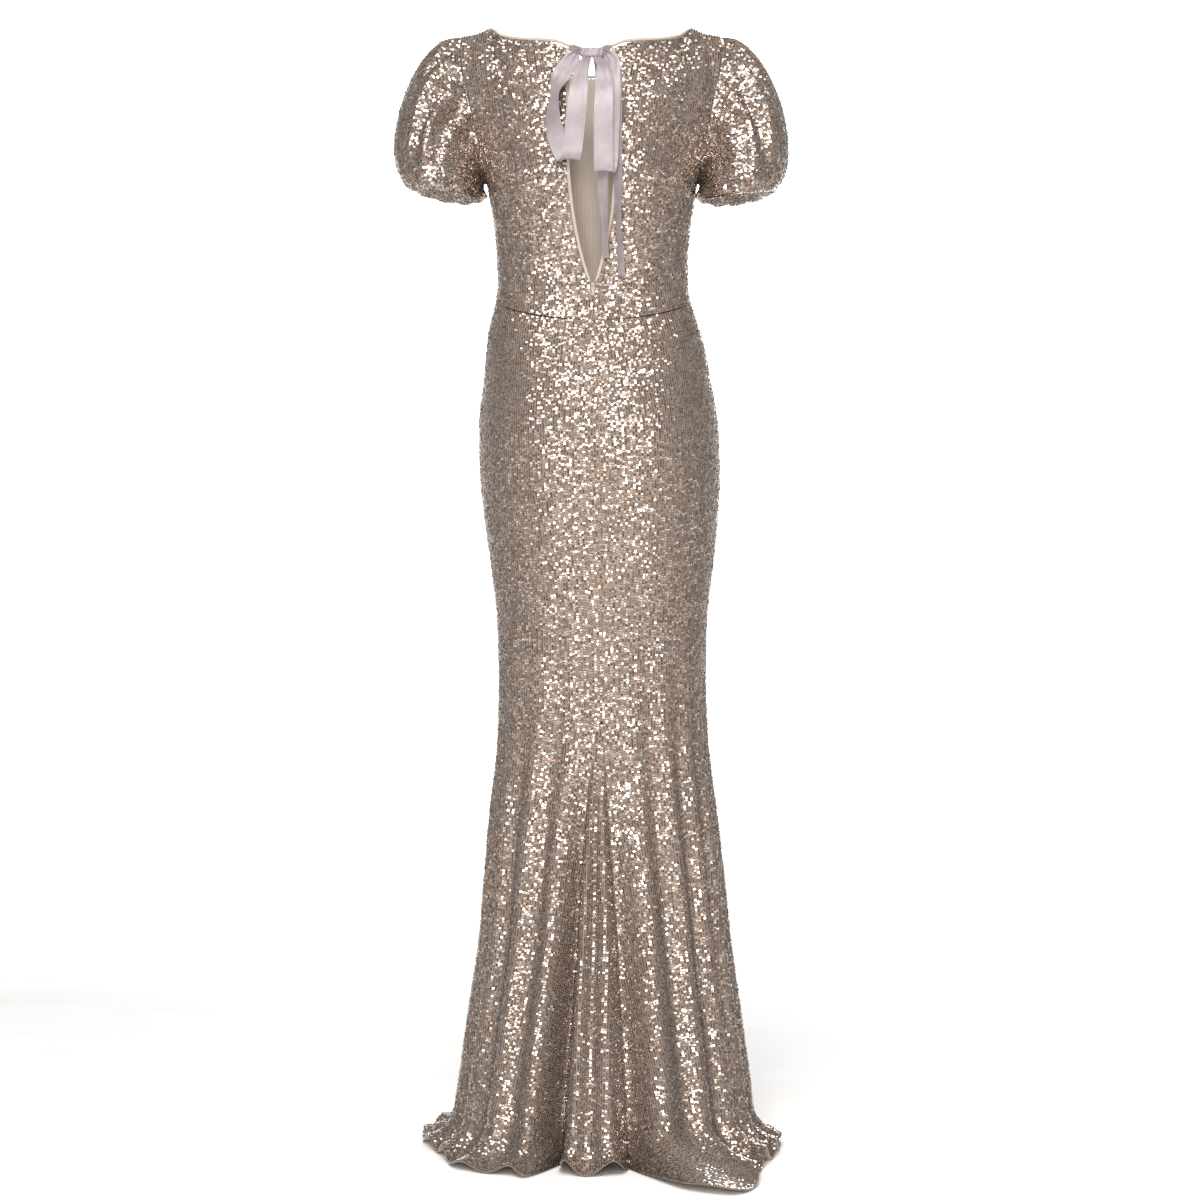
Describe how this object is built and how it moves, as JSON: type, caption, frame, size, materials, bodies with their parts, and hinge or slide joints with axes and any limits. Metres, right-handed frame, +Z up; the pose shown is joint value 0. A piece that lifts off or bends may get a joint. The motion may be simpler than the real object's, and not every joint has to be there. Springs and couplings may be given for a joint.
{
  "type": "maxi dress",
  "caption": "Hollow worn-form floor-length fitted dress with puff sleeves, keyhole back, ribbon bow, back zip and trumpet skirt with a waved hem.",
  "frame": {"origin": "midway between the two shoulder points at the neck, where the dress hangs from its wearer", "axes": "+Z up, the front of the dress faces -Y and its back faces +Y, +X towards the wearer's left"},
  "size_m": [0.5356, 0.6567, 1.5061],
  "materials": {
    "sequin_cloth": "champagne sequins sewn on nude knit, glossy and finely broken",
    "binding": "matt nude bias binding",
    "ribbon_satin": "soft mauve satin",
    "zip_tape": "matt nude woven tape",
    "zip_metal": "pale enamelled metal"
  },
  "bodies": {
    "dress": {"bodice_front": "sequin_cloth", "bodice_back_left": "sequin_cloth", "bodice_back_right": "sequin_cloth", "sleeve_left": "sequin_cloth", "sleeve_right": "sequin_cloth", "skirt_front": "sequin_cloth", "skirt_back_left": "sequin_cloth", "skirt_back_right": "sequin_cloth", "back_godet": "sequin_cloth", "neck_binding_front": "binding", "neck_binding_left": "binding", "neck_binding_right": "binding", "keyhole_binding_left": "binding", "keyhole_binding_right": "binding", "zip_tape": "zip_tape", "zip_slider": "zip_metal", "bow_knot": "ribbon_satin", "bow_loop_left": "ribbon_satin", "bow_loop_right": "ribbon_satin", "bow_tail_long": "ribbon_satin", "bow_tail_short": "ribbon_satin", "ribbon_tie_left": "ribbon_satin", "ribbon_tie_right": "ribbon_satin"},
    "zip_pull": {"zip_pull": "zip_metal"}
  },
  "joints": [
    {"name": "zip_pull_swing", "type": "hinge", "parent": "dress", "child": "zip_pull", "pos_m": [-0.0031, 0.0727, -0.346], "axis": [1, 0, 0], "range_deg": [0, 150]}
  ]
}
